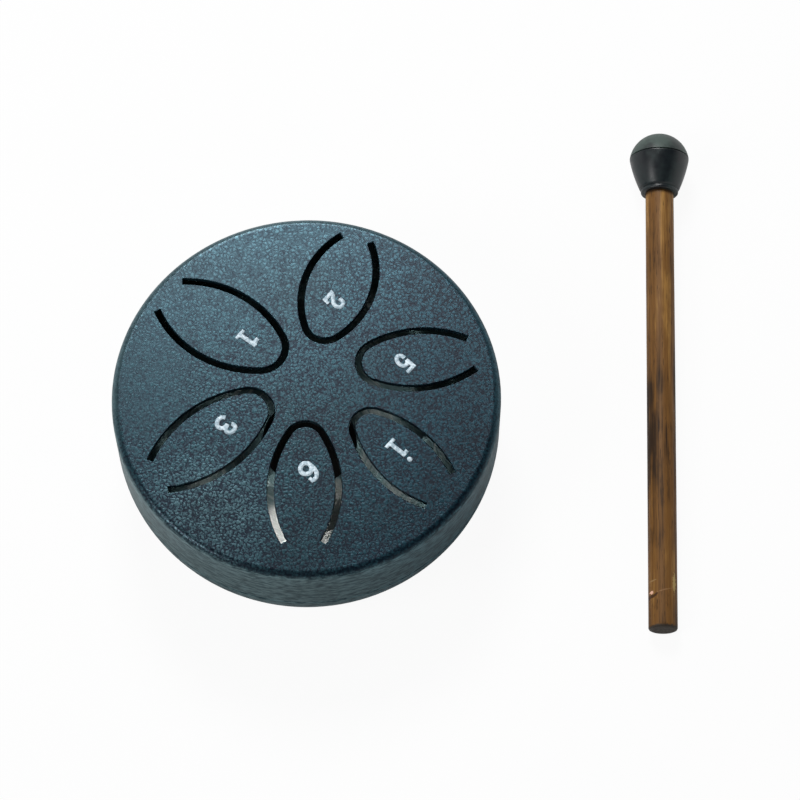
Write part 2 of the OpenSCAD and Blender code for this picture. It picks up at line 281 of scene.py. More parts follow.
@dataclass(frozen=True)
class HammeredCoat(Finish):
    """Baked paint with a fine leathery grain on the playing face and spun streaks on the wall."""

    name: str = "hammered_coat"
    deep: Colour = srgb(4, 16, 29)
    body: Colour = srgb(36, 64, 73)
    crest: Colour = srgb(88, 112, 118)
    wall_body: Colour = srgb(36, 58, 64)
    wall_streak: Colour = srgb(98, 122, 126)
    gloss: Step = Step(0.3, 0.9, 0.36, 0.22)
    wall_roughness: float = 0.5
    specular: float = 0.19
    metallic: float = 0.42
    relief_mm: float = 0.024

    # The grain: cells that are pushed out of shape, fine noise and swells, each with its share
    cell_mm: float = 0.85
    warp_mm: float = 1.1
    warp: Noise = Noise(2.0, 1.0, seed=3.0)
    pebble: Step = Step(0.0, 0.42)
    rough: Noise = Noise(0.45, 3.0, 0.6, 1.0)
    swell: Noise = Noise(1.7, seed=2.0)
    shares: Triple = (0.4, 0.55, 0.35)

    # Where the wall begins, by radius and by height, and what is left of the grain on it
    bend: Step = in_mm(39.5, 39.95)
    side: Step = in_mm(28.7, 28.1)
    wall_grain: Step = Step(0.0, 1.0, 1.0, 0.6)
    wall_relief: Step = Step(0.0, 1.0, 0.0, 0.7)
    streak: Noise = Noise(0.55, 3.0, 0.65, 5.0, (0.25, 0.25, 1.0))
    streaks: Step = Step(0.36, 0.64)
    # Darker low on the wall and lighter near its top: painted shade below and a painted highlight above
    wall_rise: Step = in_mm(22, 28, 0.9, 1.12)

    # The coat lies thicker and coarser towards the front left, and calmer in a patch at the left
    coarse_lean: float = 0.4
    coarse: Step = in_mm(14, -22, 0.3, 1.0)
    calm_at_mm: Triple = (-37.0, 1.0, 30.0)
    calm_relief: Step = in_mm(6, 20, 0.4, 1.0)
    calm_mottle: Step = in_mm(6, 20, 0.7, 1.0)

    # The mottle: grain and fine noise less their mean, fainter towards the back right
    fine: Noise = Noise(0.42, 2.0, 0.6, 7.0)
    mean: float = 1.07
    faint_lean: float = -0.6
    faint: Step = in_mm(40, -5, 0.35, 1.0)
    mottle: Step = Step(-0.2, 0.2)

    # A paler rim, strongest at the back, fine pale dots at the right and paler crests at the front left, all
    # painted highlights, and painted shade along the crease at the front
    rim: Step = in_mm(38.3, 39.2, 0.0, 0.6)
    rim_highlight_breaks: Step = Step(0.3, 0.6, 0.4, 1.0)
    rim_highlight_back: Step = in_mm(-14, 0, 0.1, 1.0)
    speck_highlights: Step = in_mm(22, 38, 0.0, 0.12)
    speck_highlight_breaks: Step = Step(0.42, 0.66)
    crease: Step = in_mm(38.2, 39.1)
    crease_noise: Noise = Noise(0.7, 2.0, 0.6, 8.0)
    crease_breaks: Step = Step(0.36, 0.62)
    crease_end: Step = in_mm(28.7, 29.2)
    crease_front: Step = in_mm(-8, -26, 0.0, 0.6)
    painted_crest_highlight_at_mm: Triple = (-20.0, -27.0, 30.0)
    painted_crest_highlight: Step = in_mm(19, 5, 0.0, 0.34)
    painted_crest_highlight_steps: Step = Step(-0.1, 0.25)

    # Slow clouds over all of it, and a darker, cooler right half, which is painted shade
    cloud: Noise = Noise(14.0, seed=6.0)
    clouds: Step = over_noise(0.88, 1.1)
    painted_shade_right: Colour = (0.5, 0.68, 0.76, 1.0)
    painted_shade_side: Step = in_mm(-5, 32)

    def grain(self, net: Net, place: Socket) -> Socket:
        """The leathery grain's height: rounded cells, closed in by creases, with fine noise.

        Args:
            net: the tree that is written.
            place: the point on the piece.

        Returns:
            The height, from about 0 in a crease to 1 on a crest.
        """
        push = net.centred(net.noise(place, self.warp, "Color"), self.warp_mm * MM)
        cells = net.get(
            "ShaderNodeTexVoronoi",
            {"Vector": net.vector("ADD", place, push), "Scale": 1 / (self.cell_mm * MM)},
            feature="DISTANCE_TO_EDGE",
        )
        layers = (
            net.ease(cells, self.pebble), net.noise(place, self.rough),
            net.noise(place, self.swell),
        )
        return net.shared(*zip(layers, self.shares))

    def surface(self, net: Net) -> Socket:
        """Writes the coat's shader.

        Args:
            net: the tree that is written.

        Returns:
            The shader's output.
        """
        ease, product = net.ease, net.product
        place = self.place(net)
        x, y, z = net.split(place)
        radius = net.length(net.join(x, y))
        wall = net.math("MAXIMUM", ease(radius, self.bend), ease(z, self.side))
        grain = self.grain(net, place)
        fine = net.noise(place, self.fine)
        streak = net.noise(place, self.streak)
        calm = net.distance(place, self.calm_at_mm)

        contrast = product(
            net.total(grain, fine, -self.mean), ease(calm, self.calm_mottle),
            ease(net.total(y, product(x, self.faint_lean)), self.faint),
        )
        shade = net.tint(ease(contrast, self.mottle), self.deep, self.body)
        # The paler rim is a painted highlight, strongest at the back
        rim = product(ease(radius, self.rim), ease(fine, self.rim_highlight_breaks), ease(y, self.rim_highlight_back))
        # Fine pale dots at the right are painted highlights
        speck_highlight_breaks = product(ease(x, self.speck_highlights), ease(fine, self.speck_highlight_breaks))
        shade = net.tint(net.math("MAXIMUM", rim, speck_highlight_breaks), shade, self.crest)
        wall_shade = net.tint(ease(streak, self.streaks), self.wall_body, self.wall_streak)
        # Darker low on the wall and lighter near its top: painted shade below and a painted highlight above
        shade = net.tint(wall, shade, net.scaled(wall_shade, ease(z, self.wall_rise)))
        # Painted shade: a dark mottled ring along the crease at the front
        crease = product(
            ease(radius, self.crease), ease(net.noise(place, self.crease_noise), self.crease_breaks),
            ease(z, self.crease_end), ease(y, self.crease_front),
        )
        shade = net.tint(crease, shade, self.deep)
        # Paler crests in a patch at the front left are painted highlights
        painted_crest_highlight = product(ease(net.distance(place, self.painted_crest_highlight_at_mm), self.painted_crest_highlight),
                       ease(contrast, self.painted_crest_highlight_steps))
        shade = net.tint(painted_crest_highlight, shade, self.crest)
        shade = net.scaled(shade, ease(net.noise(place, self.cloud), self.clouds))
        # The darker, cooler right half is painted shade
        shade = net.vector("MULTIPLY", shade, net.tint(ease(x, self.painted_shade_side), WHITE, self.painted_shade_right))

        fade = product(
            ease(net.total(y, product(x, self.coarse_lean)), self.coarse),
            ease(calm, self.calm_relief), ease(wall, self.wall_grain),
        )
        height = net.total(product(grain, fade), product(streak, ease(wall, self.wall_relief)))
        normal = net.bump(height, self.relief_mm * MM)
        gloss = ease(wall, Step(0.0, 1.0, ease(grain, self.gloss), self.wall_roughness))
        return net.shader(shade, gloss, normal, self.metallic, self.specular)


@dataclass(frozen=True)
class ChamberSteel(Finish):
    """The uncoated inside of the pans: spun grey steel, clouded by the heat of the weld, with a pool of
    painted light on the front of the floor and small painted glints.
    """

    name: str = "chamber_steel"
    dark: Colour = srgb(96, 120, 122)
    pale: Colour = srgb(248, 250, 246)
    gloss: Step = over_noise(0.32, 0.52)
    metallic: float = 0.9

    # Spun rings, which run on a little along X, and heat clouds; together they also set small pale painted
    # glints
    rings: Noise = Noise(0.5, 3.0, 0.7)
    ring_drift: float = 0.04
    cloud: Noise = Noise(6.0, 3.0, seed=4.0)
    glint_shares: Point = (0.4, 0.6)
    glint: Step = Step(0.46, 0.66, 0.0, 0.3)

    # A pale patch on the front of the floor, which is a pool of painted light, and its ragged edge
    painted_light_pool_centre_mm: Point = (0.0, -24.0)
    painted_light_pool_half_mm: Point = (17.0, 13.0)
    ragged: Step = over_noise(-0.25, 0.25)
    painted_light_pool: Step = Step(1.15, 0.7)
    painted_light_pool_rings: Step = Step(0.3, 0.6, 0.7, 1.0)

    # The floor is dished, by this radius, and lightly ringed
    dish_mm: float = 190.0
    relief_mm: float = 0.014

    def surface(self, net: Net) -> Socket:
        """Writes the bare steel's shader.

        Args:
            net: the tree that is written.

        Returns:
            The shader's output.
        """
        place = self.place(net)
        x, y, z = net.split(place)
        radius = net.length(net.join(x, y))
        spun = net.join(radius, net.product(x, self.ring_drift), z)
        rings = net.noise(spun, self.rings)
        cloud = net.noise(place, self.cloud)
        # A pool of painted light on the front of the floor
        from_painted_light_pool = (
            net.math("SUBTRACT", value, centre * MM)
            for value, centre in zip((x, y), self.painted_light_pool_centre_mm)
        )
        reach = net.total(net.reach(*from_painted_light_pool, self.painted_light_pool_half_mm), net.ease(cloud, self.ragged))
        painted_light_pool = net.product(net.ease(reach, self.painted_light_pool), net.ease(rings, self.painted_light_pool_rings))
        # Pale spots where rings and clouds run high are painted glints
        glint = net.ease(net.shared(*zip((rings, cloud), self.glint_shares)), self.glint)
        shade = net.tint(net.math("MAXIMUM", painted_light_pool, glint), self.dark, self.pale)
        dish = net.math("DIVIDE", net.product(radius, radius), 2 * self.dish_mm * MM)
        height = net.total(dish, net.product(rings, self.relief_mm * MM))
        return net.shader(
            shade, net.ease(cloud, self.gloss), net.bump(height, 1.0), self.metallic
        )


@dataclass(frozen=True)
class PrintInk(Finish):
    """White pad print that follows the coat's grain and is thin in places."""

    name: str = "print_ink"
    ink: Colour = srgb(206, 221, 230)
    thin: Colour = srgb(150, 172, 184)
    coat: HammeredCoat = HammeredCoat()
    roughness: float = 0.5
    patch: Noise = Noise(0.55, 3.0, 0.6, 9.0)
    patches: Step = Step(0.4, 0.62)
    follows: float = 0.6

    def surface(self, net: Net) -> Socket:
        """Writes the ink's shader.

        Args:
            net: the tree that is written.

        Returns:
            The shader's output.
        """
        place = self.place(net)
        patch = net.ease(net.noise(place, self.patch), self.patches)
        shade = net.tint(patch, self.thin, self.ink)
        grain = self.coat.grain(net, place)
        normal = net.bump(grain, self.coat.relief_mm * MM, self.follows)
        return net.shader(shade, self.roughness, normal)


@dataclass(frozen=True)
class WoodMark:
    """A small mark on the upper side of the stick, across it and along it; most are marks of wear, one is a
    painted highlight.
    """

    centre_mm: Point
    half_mm: Point
    colour: Colour
    strength: float = 0.8
    slope: float = 0.0
    fray: Noise = Noise(0.5, 2.0, 0.6, 8.0)
    fraying: Step = over_noise(-0.35, 0.35)
    edge: Point = (1.1, 0.7)

    def on(self, net: Net, stick: Socket, shade: Socket) -> Socket:
        """Lays the mark over the wood's colour.

        Args:
            net: the tree that is written.
            stick: the point in the stick's own frame, whose upper side lies towards -X.
            shade: the wood's colour.

        Returns:
            The colour with the mark.
        """
        up, across, along = net.split(stick)
        across = net.math("SUBTRACT", across, self.centre_mm[0] * MM)
        along = net.math("SUBTRACT", along, self.centre_mm[1] * MM)
        along = net.math("SUBTRACT", along, net.product(across, self.slope))
        frayed = net.ease(net.noise(stick, self.fray), self.fraying)
        reach = net.total(net.reach(across, along, self.half_mm), frayed)
        mark = net.product(
            net.ease(reach, Step(*self.edge, 0.0, self.strength)), net.math("LESS_THAN", up, 0.0)
        )
        return net.tint(mark, shade, self.colour)


@dataclass(frozen=True)
class StainedWood(Finish):
    """Brown stained dowel: long fibres, darker pores, a paler upper half and small dents and marks of wear;
    its tone along it is partly painted shade, one mark is a painted highlight, and the wood at the head's
    neck has a painted shadow.
    """

    name: str = "stained_wood"
    dark: Colour = srgb(44, 29, 15)
    body: Colour = srgb(106, 72, 34)
    pale: Colour = srgb(158, 118, 62)
    end_grain: Colour = srgb(52, 45, 38)
    gloss: Step = over_noise(0.62, 0.44)
    specular: float = 0.18
    relief_mm: float = 0.03
    turn: Triple = (0.0, 0.0, 0.0)
    shift: Triple = (0.0, 0.0, 0.0)
    tail_mm: float = 106.4
    neck_mm: float = 7.4

    # The grain: fibres and bands, each with its share, under blotches, darker past the middle and paler
    # towards the tail, which is partly stain and partly painted shade
    fibres: Noise = Noise(0.55, 3.0, 0.6, 1.0, (1.0, 1.0, 0.035))
    bands: Noise = Noise(1.6, 2.0, 0.5, 3.0, (1.0, 0.5, 0.02))
    shares: Point = (0.55, 0.45)
    blotch: Noise = Noise(4.5, 3.0, 0.6, 4.0, (1.0, 1.0, 0.4))
    blotches: Step = over_noise(-0.07, 0.05)
    darker: Step = in_mm(30, 60, 0.05, -0.07)
    paler: Step = in_mm(83, 92, 0.0, 0.06)
    to_body: Step = Step(0.34, 0.52)
    to_pale: Step = Step(0.52, 0.72)
    pores: Noise = Noise(0.28, 2.0, 0.6, 2.0, (1.0, 1.0, 0.09))
    pore: Step = Step(0.42, 0.3, 0.0, 0.7)
    pore_depth: float = 0.6

    # A painted shadow on the wood next to the head's neck, and the end grain at the tail with its ragged edge
    painted_neck_shadow_mm: float = 1.1
    painted_neck_shadow: float = 0.85
    ragged_mm: float = 0.25
    end_mm: Point = (0.7, 0.3)
    marks_and_highlight: tuple[WoodMark, ...] = (
        WoodMark((-2.3, 99.7), (1.3, 0.45), srgb(44, 24, 12), 0.8, -0.35),
        WoodMark((-2.45, 98.9), (0.42, 0.38), srgb(224, 176, 150), 0.95),
        WoodMark((-2.1, 96.3), (0.8, 0.16), srgb(150, 122, 84), 0.6, -0.2),
        # A painted highlight: a pale yellowish streak along the stick's side
        WoodMark((2.25, 96.8), (0.34, 2.3), srgb(176, 150, 92), 0.75),
        WoodMark((0.4, 98.4), (1.9, 0.16), srgb(142, 106, 72), 0.5, -0.28),
    )

    def surface(self, net: Net) -> Socket:
        """Writes the wood's shader, in the stick's own frame with the grain along Z.

        Args:
            net: the tree that is written.

        Returns:
            The shader's output.
        """
        stick = net.posed(self.place(net), self.shift, self.turn)
        z = net.split(stick)[2]
        fibres = net.noise(stick, self.fibres)
        # Darker past the middle and paler towards the tail: partly stain, partly painted shade
        grain = net.total(
            net.shared(*zip((fibres, net.noise(stick, self.bands)), self.shares)),
            net.ease(z, self.darker), net.ease(z, self.paler),
            net.ease(net.noise(stick, self.blotch), self.blotches),
        )
        shade = net.tint(net.ease(grain, self.to_body), self.dark, self.body)
        shade = net.tint(net.ease(grain, self.to_pale), shade, self.pale)
        pore = net.ease(net.noise(stick, self.pores), self.pore)
        shade = net.tint(pore, shade, self.dark)
        for wood_mark in self.marks_and_highlight:
            shade = wood_mark.on(net, stick, shade)
        # Painted shadow: the wood darkens next to the head's neck
        painted_neck_shadow = in_mm(self.neck_mm, self.neck_mm + self.painted_neck_shadow_mm, self.painted_neck_shadow, 0.0)
        shade = net.tint(net.ease(z, painted_neck_shadow), shade, self.dark)
        ragged = over_noise(-self.ragged_mm * MM, self.ragged_mm * MM)
        end = in_mm(self.tail_mm - self.end_mm[0], self.tail_mm - self.end_mm[1])
        end = net.ease(net.total(z, net.ease(fibres, ragged)), end)
        shade = net.tint(end, shade, self.end_grain)
        height = net.math("SUBTRACT", fibres, net.product(pore, self.pore_depth))
        normal = net.bump(height, self.relief_mm * MM)
        return net.shader(shade, net.ease(fibres, self.gloss), normal, specular=self.specular)


@dataclass(frozen=True)
class MouldedRubber(Finish):
    """Dark moulded rubber, satin, with a bloom like dust and fine pits; beyond a cut it is duller, and paler
    with a painted sheen.
    """

    name: str = "moulded_rubber"
    dark: Colour = srgb(5, 11, 17)
    bloom: Colour = srgb(22, 36, 36)
    # Painted sheen: the dome's paler colours beyond the cut
    dome_sheen_dim: Colour = srgb(26, 34, 34)
    dome_sheen_pale: Colour = srgb(56, 70, 65)
    gloss: Step = over_noise(0.31, 0.48)
    dome_dulls: float = 0.12
    specular: float = 0.42
    cloud: Noise = Noise(3.5, 3.0, 0.6, 1.0)
    blooming: Step = Step(0.35, 0.75)
    dome_sheen_mottle: Step = Step(0.34, 0.62)
    pits: Noise = Noise(0.5, 3.0, 0.6, 2.0)
    relief_mm: float = 0.012
    turn: Triple = (0.0, 0.0, 0.0)
    shift: Triple = (0.0, 0.0, 0.0)
    cut_mm: float = -0.85
    cut_width_mm: float = 0.1

    def surface(self, net: Net) -> Socket:
        """Writes the rubber's shader.

        Args:
            net: the tree that is written.

        Returns:
            The shader's output.
        """
        place = self.place(net)
        cloud = net.noise(place, self.cloud)
        shade = net.tint(net.ease(cloud, self.blooming), self.dark, self.bloom)
        # Painted sheen on the dome beyond the cut
        dome_sheen = net.tint(net.ease(cloud, self.dome_sheen_mottle), self.dome_sheen_dim, self.dome_sheen_pale)
        along = net.split(net.posed(place, self.shift, self.turn))[2]
        dome = net.ease(along, in_mm(self.cut_mm, self.cut_mm - self.cut_width_mm))
        normal = net.bump(net.noise(place, self.pits), self.relief_mm * MM)
        gloss = net.total(net.ease(cloud, self.gloss), net.product(dome, self.dome_dulls))
        return net.shader(net.tint(dome, shade, dome_sheen), gloss, normal, specular=self.specular)


@dataclass(frozen=True)
class StudioPaper(Finish):
    """The pale table: it keeps the object's shadow, and shows near white to the eye."""

    name: str = "studio_paper"
    paper: Colour = (0.7, 0.71, 0.71, 1.0)
    fleck: Colour = (0.74, 0.74, 0.74, 1.0)
    shaded: Colour = (0.02, 0.02, 0.02, 1.0)
    lift: float = 0.94
    fibres: Noise = Noise(30.0, 3.0)
    mirrors: Step = in_mm(60, 160)
    under: Step = in_mm(28, 34)

    def surface(self, net: Net) -> Socket:
        """Writes the table's shader: dark under the drum and clear from below.

        Args:
            net: the tree that is written.

        Returns:
            The shader's output.
        """
        ray = net.add("ShaderNodeLightPath").outputs
        place = self.place(net)
        away = net.length(place)
        mirrored = net.math("ADD", ray["Is Glossy Ray"], ray["Is Transmission Ray"], clamp=True)
        mirrored = net.product(mirrored, net.ease(away, self.mirrors))
        under = net.ease(away, self.under)
        seen = net.product(net.math("MAXIMUM", ray["Is Camera Ray"], mirrored), under)
        fibres = net.ease(net.noise(place, self.fibres), over_noise())
        shade = net.tint(under, self.shaded, net.tint(fibres, self.paper, self.fleck))
        paper = net.get("ShaderNodeBsdfDiffuse", {"Color": shade})
        glow = net.get("ShaderNodeEmission", {"Color": WHITE, "Strength": 1.0})
        lift = net.product(seen, self.lift)
        lifted = net.get("ShaderNodeMixShader", {0: lift, 1: paper, 2: glow})
        clear = net.get("ShaderNodeBsdfTransparent")
        back = net.add("ShaderNodeNewGeometry").outputs["Backfacing"]
        return net.get("ShaderNodeMixShader", {0: back, 1: lifted, 2: clear})


def as_object(name: str, data: bpy.types.ID) -> bpy.types.Object:
    """Puts a mesh, lamp or camera in the scene as an object at the origin."""
    made = bpy.data.objects.new(name, data)
    bpy.context.scene.collection.objects.link(made)
    return made


def baked(host: bpy.types.Object) -> bpy.types.Mesh:
    """The plain mesh that an object's modifiers make; the host is then removed.

    Args:
        host: the object with its modifiers.

    Returns:
        The mesh, with nothing live on it.
    """
    bpy.context.view_layer.update()
    graph = bpy.context.evaluated_depsgraph_get()
    mesh = bpy.data.meshes.new_from_object(host.evaluated_get(graph))
    bpy.data.objects.remove(host)
    return mesh


def evened(mesh: bpy.types.Mesh, sharp_deg: float = 35.0) -> bpy.types.Mesh:
    """Gives a mesh normals that keep its flat faces flat and its small bevels round.

    Args:
        mesh: the mesh.
        sharp_deg: edges sharper than this stay sharp.

    Returns:
        The mesh with its own normals.
    """
    mesh.shade_smooth()
    mesh.set_sharp_from_angle(angle=math.radians(sharp_deg))
    host = as_object(mesh.name, mesh)
    weighted = host.modifiers.new("even", "WEIGHTED_NORMAL")
    weighted.keep_sharp = True
    return baked(host)


@dataclass
class Part:
    """A finished piece: its name, mesh and body, its material slot, and the CAD nodes that it stands for."""

    name: str
    mesh: bpy.types.Mesh
    body: str
    slot: Slot
    stands_for: tuple[str, ...] = ()

    def declare(self) -> None:
        """Puts the piece in the scene, on its body."""
        piece = as_object(self.name, self.mesh)
        self.mesh.name = self.name
        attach(piece, self.body)
        if self.stands_for:
            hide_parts(*self.stands_for)
        log.info("%s: %d faces, rides on %s", self.name, len(self.mesh.polygons), self.body)


class Rule:
    """A geometry node tree with named inputs, which is run on a mesh."""

    def __init__(self, name: str, *numbers: str) -> None:
        """Makes an empty tree.

        Args:
            name: the tree's name.
            *numbers: the names of its number inputs, beside Geometry, Finish and Seed.
        """
        self.group = bpy.data.node_groups.new(name, "GeometryNodeTree")
        self.net = Net(self.group)
        kinds = {"Geometry": "NodeSocketGeometry", "Finish": "NodeSocketMaterial"}
        kinds |= {number: "NodeSocketFloat" for number in (*numbers, "Seed")}
        face = self.group.interface
        for label, kind in kinds.items():
            face.new_socket(label, in_out="INPUT", socket_type=kind)
        face.new_socket("Geometry", in_out="OUTPUT", socket_type="NodeSocketGeometry")
        self.given = self.net.add("NodeGroupInput").outputs

    def noise(self, place: Socket, size: str, output: str | int = 0, roughness: float = 0.5) -> Socket:
        """A noise whose blots lie as far apart as an input says.

        Args:
            place: the coordinates.
            size: the input's name.
            output: which output is asked for.
            roughness: how strong its finer layers are.

        Returns:
            The output.
        """
        spread = self.net.math("DIVIDE", 1.0, self.given[size])
        inputs = {"Vector": self.net.scaled(place, spread), "W": self.given["Seed"],
                  "Scale": 1.0, "Detail": 2.0, "Roughness": roughness}
        return self.net.add("ShaderNodeTexNoise", inputs, noise_dimensions="4D").outputs[output]

    def close(self, geometry: Socket) -> None:
        """Ends the tree: instances made real, the finish set, the output joined."""
        real = self.net.get("GeometryNodeRealizeInstances", {0: geometry})
        inputs = {"Geometry": real, "Material": self.given["Finish"]}
        self.net.add("NodeGroupOutput", {0: self.net.get("GeometryNodeSetMaterial", inputs)})

    def run(self, mesh: bpy.types.Mesh, values: Mapping[str, Any]) -> bpy.types.Mesh:
        """Runs the tree on a mesh.

        Args:
            mesh: what the tree works on.
            values: a value for each named input.

        Returns:
            The plain mesh that it makes.
        """
        host = as_object(mesh.name, mesh)
        modifier = host.modifiers.new(self.group.name, "NODES")
        modifier.node_group = self.group
        for item in self.group.interface.items_tree:
            if item.in_out == "INPUT" and item.name in values:
                modifier[item.identifier] = values[item.name]
        return baked(host)


def turning_rule(steps: int = 96, merge_m: float = 2e-6, fade_per_m: float = 200.0) -> Rule:
    """The rule of a turned piece: a half section swept round Z, slightly uneven as by hand.

    Args:
        steps: how many steps the sweep has.
        merge_m: points closer than this become one, as at the poles.
        fade_per_m: how fast the unevenness sets in along the piece.

    Returns:
        The rule. Its mesh is the half section's line, with the radius along X.
    """
    rule = Rule("turned_piece", "Path Radius", "Unevenness", "Unevenness Size", "Even Until")
    net, given = rule.net, rule.given
    section = net.get("GeometryNodeMeshToCurve", {"Mesh": given["Geometry"]})
    circle = net.get(
        "GeometryNodeCurvePrimitiveCircle", {"Resolution": steps, "Radius": given["Path Radius"]},
        mode="RADIUS",
    )
    swept = net.get("GeometryNodeCurveToMesh", {"Curve": circle, "Profile Curve": section})
    outward = net.get("GeometryNodeFlipFaces", {"Mesh": swept})
    closed = net.get("GeometryNodeMergeByDistance", {"Geometry": outward, "Distance": merge_m})
    place = net.get("GeometryNodeInputPosition")
    noise = rule.noise(place, "Unevenness Size")
    past = net.math("SUBTRACT", net.split(place)[2], given["Even Until"])
    fade = net.math("MULTIPLY", past, fade_per_m, clamp=True)
    push = net.product(net.math("SUBTRACT", noise, 0.5), given["Unevenness"], fade)
    offset = net.scaled(net.get("GeometryNodeInputNormal"), push)
    rule.close(net.get("GeometryNodeSetPosition", {"Geometry": closed, "Offset": offset}))
    return rule


def printing_rule() -> Rule:
    """The rule of a printed mark: strokes that follow their paths, joined into one thin body.

    Returns:
        The rule. Its mesh holds the paths, and its attribute stroke holds their widths.
    """
    rule = Rule("printed_mark", "Point Spacing", "Ink Height", "Raggedness", "Raggedness Size")
    net, given = rule.net, rule.given
    paths = net.get("GeometryNodeMeshToCurve", {"Mesh": given["Geometry"]})
    smooth = net.get("GeometryNodeCurveSplineType", {"Curve": paths}, spline_type="CATMULL_ROM")
    spaced = net.get(
        "GeometryNodeResampleCurve", {"Curve": smooth, "Length": given["Point Spacing"]}, mode="LENGTH"
    )
    upright = net.get("GeometryNodeSetCurveNormal", {"Curve": spaced}, mode="Z_UP")
    nib = net.get("GeometryNodeCurvePrimitiveQuadrilateral", {"Width": 1.0, "Height": 1.0})
    width = net.get("GeometryNodeInputNamedAttribute", {"Name": "stroke"}, data_type="FLOAT")
    strokes = net.get(
        "GeometryNodeCurveToMesh",
        {"Curve": upright, "Profile Curve": nib, "Scale": width, "Fill Caps": True},
    )
    x, y, z = net.split(net.get("GeometryNodeInputPosition"))
    noise = rule.noise(net.join(x, y), "Raggedness Size", "Color", 0.6)
    ragged = net.split(net.centred(noise, given["Raggedness"]))
    flat = net.join(
        net.total(x, ragged[0]), net.total(y, ragged[1]),
        net.product(net.math("SIGN", z), net.product(given["Ink Height"], 0.5)),
    )
    pressed = net.get("GeometryNodeSetPosition", {"Geometry": strokes, "Position": flat})
    rule.close(net.get(
        "GeometryNodeMeshBoolean", {"Mesh 2": pressed, "Self Intersection": True},
        operation="UNION", solver="EXACT",
    ))
    return rule


def line_mesh(name: str, lines: Iterable[Sequence[Point]]) -> bpy.types.Mesh:
    """A mesh of plain lines, for a rule to work on.

    Args:
        name: the mesh's name.
        lines: the points of each line, in millimetres; one that ends where it began is closed.

    Returns:
        The mesh, with edges only.
    """
    points: list[tuple[float, float, float]] = []
    edges: list[tuple[int, int]] = []
    for line in lines:
        closed = line[0] == line[-1]
        kept = line[:-1] if closed else line
        first = len(points)
        points += [(a * MM, b * MM, 0.0) for a, b in kept]
        edges += [(first + i, first + i + 1) for i in range(len(kept) - 1)]
        if closed:
            edges.append((len(points) - 1, first))
    mesh = bpy.data.meshes.new(name)
    mesh.from_pydata(points, edges, [])
    return mesh


@dataclass(frozen=True)
class PressedSteel:
    """Merged copies of the CAD's steel solids, with their cut edges softened.

    Attributes:
        lip_mm: how far a cut edge is rounded.
        near_mm: edges closer than this to a neighbour, as at a tongue's root, stay as they are.
    """

    lip_mm: float = 0.12
    near_mm: float = 0.1
    merge_m: float = 1e-6
    flat_deg: float = 0.6
    edge_deg: float = 50.0
    level_m: float = 1e-5
    # Faces whose normal rises by less are cuts, if they lie among the slots or at the sound hole
    upright: float = 0.95
    slots_above_mm: float = 28.7
    hole_r_mm: float = 10.5
    chamber_middle_mm: float = 16.0

    def merged(self, node: str) -> bmesh.types.BMesh:
        """A CAD node's mesh with its loose triangles joined and its flat faces made whole."""
        made = bmesh.new()
        made.from_mesh(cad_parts[node].data)
        bmesh.ops.remove_doubles(made, verts=made.verts, dist=self.merge_m)
        bmesh.ops.dissolve_limit(
            made, angle_limit=math.radians(self.flat_deg), verts=made.verts, edges=made.edges
        )
        return made

    def tree(self, nodes: Iterable[str]) -> BVHTree:
        """A search tree over the surfaces of some CAD nodes."""
        points: list[Vector] = []
        faces: list[tuple[int, ...]] = []
        for node in nodes:
            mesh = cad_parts[node].data
            first = len(points)
            points += [v.co.copy() for v in mesh.vertices]
            faces += [tuple(first + i for i in p.vertices) for p in mesh.polygons]
        return BVHTree.FromPolygons(points, faces)

    def soft(
        self, node: str, neighbours: Sequence[str], materials: Sequence[bpy.types.Material],
        close_root: bool = False,
    ) -> bpy.types.Mesh:
        """The node's mesh with rounded edges, whole flat faces and a finish for each zone.

        Args:
            node: the CAD node.
            neighbours: the nodes that it touches, where its edges stay as they are.
            materials: the finish of each zone, in the order of Zone.
            close_root: whether to draw its nearest edge up to the neighbour.

        Returns:
            The finished mesh.
        """
        made = self.merged(node)
        around = self.tree(neighbours) if neighbours else None

        def touched(point: Vector) -> Vector | None:
            """The neighbours' spot that a point all but touches."""
            return None if around is None else around.find_nearest(point, self.near_mm * MM)[0]

        def is_rounded(edge: bmesh.types.BMEdge) -> bool:
            """Whether an edge is a level, sharp one, as the rims of the cuts are, and free."""
            if len(edge.link_faces) != 2 or edge.calc_face_angle(0.0) <= math.radians(self.edge_deg):
                return False
            first, last = (vert.co for vert in edge.verts)
            joined = touched(first) is not None and touched(last) is not None
            joined = joined or touched((first + last) / 2) is not None
            return not joined and abs(first.z - last.z) < self.level_m

        bmesh.ops.bevel(
            made, geom=[edge for edge in made.edges if is_rounded(edge)], offset=self.lip_mm * MM,
            offset_type="OFFSET", segments=3, profile=0.5, affect="EDGES", clamp_overlap=False,
        )
        if close_root:
            for vert in made.verts:
                spot = touched(vert.co)
                if spot is not None:
                    vert.co = spot
        for face in made.faces:
            face.smooth = True
            face.material_index = self.zone(face).value
        mesh = bpy.data.meshes.new(node)
        made.to_mesh(mesh)
        made.free()
        for material in materials:
            mesh.materials.append(material)
        return evened(mesh)

    def zone(self, face: bmesh.types.BMFace) -> Zone:
        """The zone of a face: the chamber's side of a pan, or its outside and its cut edges."""
        centre = face.calc_center_median()
        at_cut = centre.z > self.slots_above_mm * MM or math.hypot(*centre.xy) < self.hole_r_mm * MM
        inward = face.normal.dot(Vector((0.0, 0.0, self.chamber_middle_mm * MM)) - centre) > 0
        cut = abs(face.normal.z) < self.upright and at_cut
        return Zone.CHAMBER if inward and not cut else Zone.OUTSIDE


# The width and the path of a stroke of a printed digit, in millimetres
Stroke = tuple[float, tuple[Point, ...]]


@dataclass(frozen=True)
class Digit:
    """A printed digit: its tongue, where it stands on the face, where its top points, and its strokes."""

    tongue: str
    centre: Point
    up_deg: float
    strokes: tuple[Stroke, ...]


